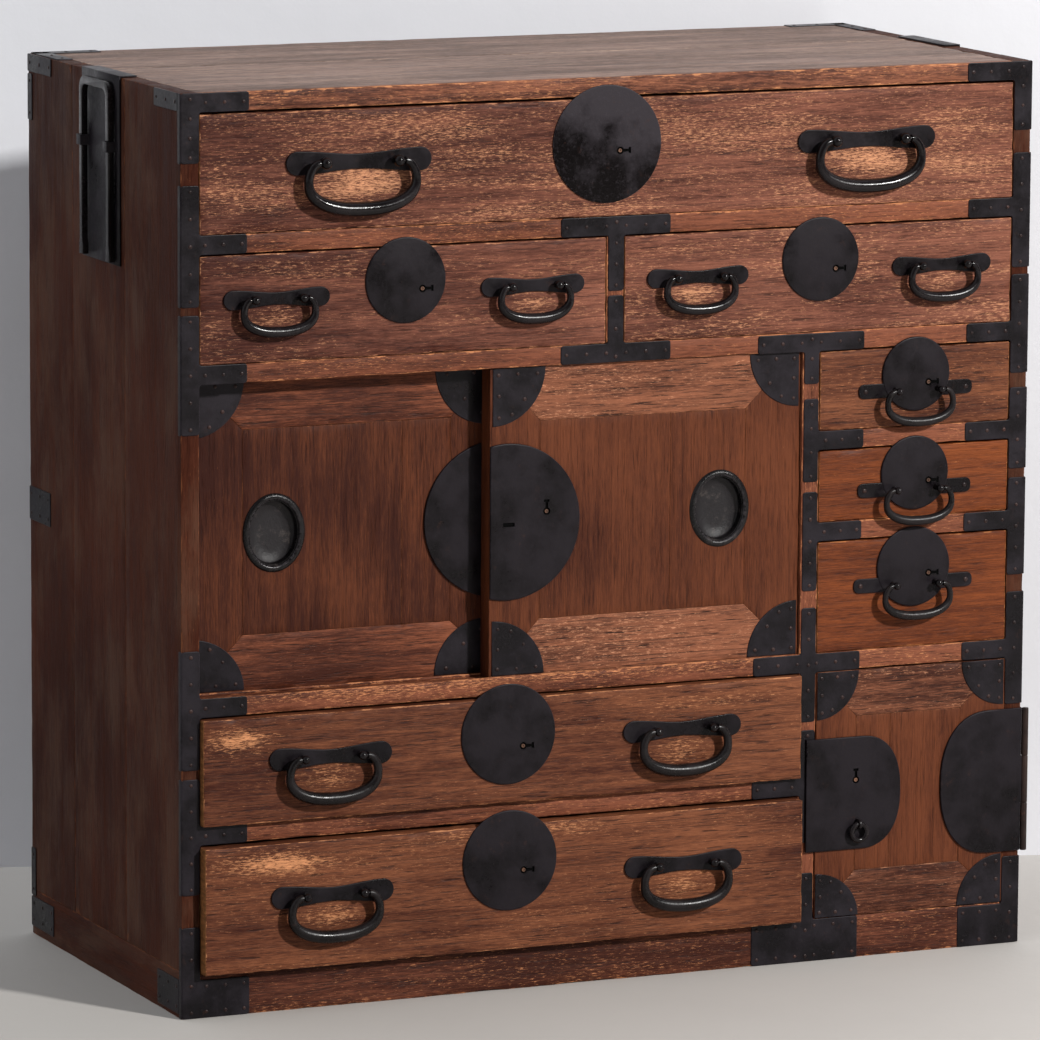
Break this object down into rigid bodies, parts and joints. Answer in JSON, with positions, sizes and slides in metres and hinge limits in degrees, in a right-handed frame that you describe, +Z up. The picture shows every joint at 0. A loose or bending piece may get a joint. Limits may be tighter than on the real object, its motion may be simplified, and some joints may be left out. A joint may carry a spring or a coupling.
{
  "type": "tansu chest",
  "caption": "Low wooden tansu chest with drawers, a pair of sliding doors, a hinged safe door, round iron lock plates, bail handles and side loops for a carrying pole.",
  "frame": {"origin": "centre of the box's footprint on the floor, with every drawer and door as in the picture", "axes": "+X to the right along the front, +Y from the front to the back, +Z up"},
  "size_m": [0.9024, 0.4358, 0.8718],
  "materials": {
    "case_wood": "satin, dark stained",
    "top_wood": "worn matte",
    "drawer_wood": "worn satin",
    "door_wood": "satin",
    "plate_iron": "blackened satin",
    "bail_iron": "blackened, rubbed"
  },
  "bodies": {
    "case": {"side_left": "case_wood", "side_right": "case_wood", "top_board": "top_wood", "back_board": "case_wood", "base_frame": "case_wood", "upper_frame": "case_wood", "middle_frame": "case_wood", "lower_frame": "case_wood", "pole_guide_left": "plate_iron", "pole_guide_right": "plate_iron", "safe_hinge_case_leaf": "plate_iron"},
    "drawer_top": {"drawer_top": "drawer_wood", "lock_plate_top": "plate_iron", "handle_plate_top_a": "plate_iron", "handle_plate_top_b": "plate_iron"},
    "drawer_middle_left": {"drawer_middle_left": "drawer_wood", "lock_plate_middle_left": "plate_iron", "handle_plate_middle_left_a": "plate_iron", "handle_plate_middle_left_b": "plate_iron"},
    "drawer_middle_right": {"drawer_middle_right": "drawer_wood", "lock_plate_middle_right": "plate_iron", "handle_plate_middle_right_a": "plate_iron", "handle_plate_middle_right_b": "plate_iron"},
    "drawer_wide_upper": {"drawer_wide_upper": "drawer_wood", "lock_plate_wide_upper": "plate_iron", "handle_plate_wide_upper_a": "plate_iron", "handle_plate_wide_upper_b": "plate_iron"},
    "drawer_wide_lower": {"drawer_wide_lower": "drawer_wood", "lock_plate_wide_lower": "plate_iron", "handle_plate_wide_lower_a": "plate_iron", "handle_plate_wide_lower_b": "plate_iron"},
    "drawer_small_1": {"drawer_small_1": "drawer_wood", "lock_plate_small_1": "plate_iron"},
    "drawer_small_2": {"drawer_small_2": "drawer_wood", "lock_plate_small_2": "plate_iron"},
    "drawer_small_3": {"drawer_small_3": "drawer_wood", "lock_plate_small_3": "plate_iron"},
    "door_rear": {"door_rear": "door_wood", "lock_plate_door_rear": "plate_iron"},
    "door_front": {"door_front": "door_wood", "lock_plate_door_front": "plate_iron"},
    "safe_door": {"safe_door": "door_wood", "safe_lock_plate": "plate_iron", "safe_hinge_door_leaf": "plate_iron"},
    "safe_ring": {"safe_ring": "bail_iron"},
    "bail_top_a": {"bail_top_a": "bail_iron"},
    "bail_top_b": {"bail_top_b": "bail_iron"},
    "bail_middle_left_a": {"bail_middle_left_a": "bail_iron"},
    "bail_middle_left_b": {"bail_middle_left_b": "bail_iron"},
    "bail_middle_right_a": {"bail_middle_right_a": "bail_iron"},
    "bail_middle_right_b": {"bail_middle_right_b": "bail_iron"},
    "bail_wide_upper_a": {"bail_wide_upper_a": "bail_iron"},
    "bail_wide_upper_b": {"bail_wide_upper_b": "bail_iron"},
    "bail_wide_lower_a": {"bail_wide_lower_a": "bail_iron"},
    "bail_wide_lower_b": {"bail_wide_lower_b": "bail_iron"},
    "bail_small_1": {"bail_small_1": "bail_iron"},
    "bail_small_2": {"bail_small_2": "bail_iron"},
    "bail_small_3": {"bail_small_3": "bail_iron"},
    "pole_loop_left": {"pole_loop_left": "bail_iron"},
    "pole_loop_right": {"pole_loop_right": "bail_iron"}
  },
  "joints": [
    {"name": "drawer_top_slide", "type": "slide", "parent": "case", "child": "drawer_top", "axis": [0, -1, 0], "range_m": [0, 0.3]},
    {"name": "drawer_middle_left_slide", "type": "slide", "parent": "case", "child": "drawer_middle_left", "axis": [0, -1, 0], "range_m": [0, 0.3]},
    {"name": "drawer_middle_right_slide", "type": "slide", "parent": "case", "child": "drawer_middle_right", "axis": [0, -1, 0], "range_m": [0, 0.3]},
    {"name": "drawer_wide_upper_slide", "type": "slide", "parent": "case", "child": "drawer_wide_upper", "axis": [0, -1, 0], "range_m": [-0.008, 0.292]},
    {"name": "drawer_wide_lower_slide", "type": "slide", "parent": "case", "child": "drawer_wide_lower", "axis": [0, -1, 0], "range_m": [-0.013, 0.287]},
    {"name": "drawer_small_1_slide", "type": "slide", "parent": "case", "child": "drawer_small_1", "axis": [0, -1, 0], "range_m": [0, 0.3]},
    {"name": "drawer_small_2_slide", "type": "slide", "parent": "case", "child": "drawer_small_2", "axis": [0, -1, 0], "range_m": [0, 0.3]},
    {"name": "drawer_small_3_slide", "type": "slide", "parent": "case", "child": "drawer_small_3", "axis": [0, -1, 0], "range_m": [0, 0.3]},
    {"name": "door_rear_slide", "type": "slide", "parent": "case", "child": "door_rear", "axis": [1, 0, 0], "range_m": [0, 0.294]},
    {"name": "door_front_slide", "type": "slide", "parent": "case", "child": "door_front", "axis": [-1, 0, 0], "range_m": [0, 0.294]},
    {"name": "safe_door_hinge", "type": "hinge", "parent": "case", "child": "safe_door", "pos_m": [0.4437, -0.1921, 0.164], "axis": [0, 0, 1], "range_deg": [0, 165]},
    {"name": "safe_ring_swing", "type": "hinge", "parent": "safe_door", "child": "safe_ring", "pos_m": [0.2609, -0.1981, 0.134], "axis": [-1, 0, 0], "range_deg": [0, 90]},
    {"name": "bail_top_a_swing", "type": "hinge", "parent": "drawer_top", "child": "bail_top_a", "pos_m": [-0.26299, -0.1999, 0.801], "axis": [-1, 0, 0], "range_deg": [0, 100]},
    {"name": "bail_top_b_swing", "type": "hinge", "parent": "drawer_top", "child": "bail_top_b", "pos_m": [0.26299, -0.1999, 0.801], "axis": [-1, 0, 0], "range_deg": [0, 100]},
    {"name": "bail_middle_left_a_swing", "type": "hinge", "parent": "drawer_middle_left", "child": "bail_middle_left_a", "pos_m": [-0.34518, -0.1986, 0.6765], "axis": [-1, 0, 0], "range_deg": [0, 100]},
    {"name": "bail_middle_left_b_swing", "type": "hinge", "parent": "drawer_middle_left", "child": "bail_middle_left_b", "pos_m": [-0.08582, -0.1986, 0.6765], "axis": [-1, 0, 0], "range_deg": [0, 100]},
    {"name": "bail_middle_right_a_swing", "type": "hinge", "parent": "drawer_middle_right", "child": "bail_middle_right_a", "pos_m": [0.08582, -0.1986, 0.6765], "axis": [-1, 0, 0], "range_deg": [0, 100]},
    {"name": "bail_middle_right_b_swing", "type": "hinge", "parent": "drawer_middle_right", "child": "bail_middle_right_b", "pos_m": [0.34518, -0.1986, 0.6765], "axis": [-1, 0, 0], "range_deg": [0, 100]},
    {"name": "bail_wide_upper_a_swing", "type": "hinge", "parent": "drawer_wide_upper", "child": "bail_wide_upper_a", "pos_m": [-0.29356, -0.2074, 0.2425], "axis": [-1, 0, 0], "range_deg": [0, 100]},
    {"name": "bail_wide_upper_b_swing", "type": "hinge", "parent": "drawer_wide_upper", "child": "bail_wide_upper_b", "pos_m": [0.07006, -0.2074, 0.2425], "axis": [-1, 0, 0], "range_deg": [0, 100]},
    {"name": "bail_wide_lower_a_swing", "type": "hinge", "parent": "drawer_wide_lower", "child": "bail_wide_lower_a", "pos_m": [-0.29356, -0.2124, 0.1115], "axis": [-1, 0, 0], "range_deg": [0, 100]},
    {"name": "bail_wide_lower_b_swing", "type": "hinge", "parent": "drawer_wide_lower", "child": "bail_wide_lower_b", "pos_m": [0.07006, -0.2124, 0.1115], "axis": [-1, 0, 0], "range_deg": [0, 100]},
    {"name": "bail_small_1_swing", "type": "hinge", "parent": "drawer_small_1", "child": "bail_small_1", "pos_m": [0.31925, -0.20175, 0.55638], "axis": [-1, 0, 0], "range_deg": [0, 100]},
    {"name": "bail_small_2_swing", "type": "hinge", "parent": "drawer_small_2", "child": "bail_small_2", "pos_m": [0.31925, -0.20175, 0.45988], "axis": [-1, 0, 0], "range_deg": [0, 100]},
    {"name": "bail_small_3_swing", "type": "hinge", "parent": "drawer_small_3", "child": "bail_small_3", "pos_m": [0.31925, -0.20175, 0.36662], "axis": [-1, 0, 0], "range_deg": [0, 100]},
    {"name": "pole_loop_left_lift", "type": "slide", "parent": "case", "child": "pole_loop_left", "axis": [0, 0, 1], "range_m": [0, 0.088]},
    {"name": "pole_loop_right_lift", "type": "slide", "parent": "case", "child": "pole_loop_right", "axis": [0, 0, 1], "range_m": [0, 0.088]}
  ]
}
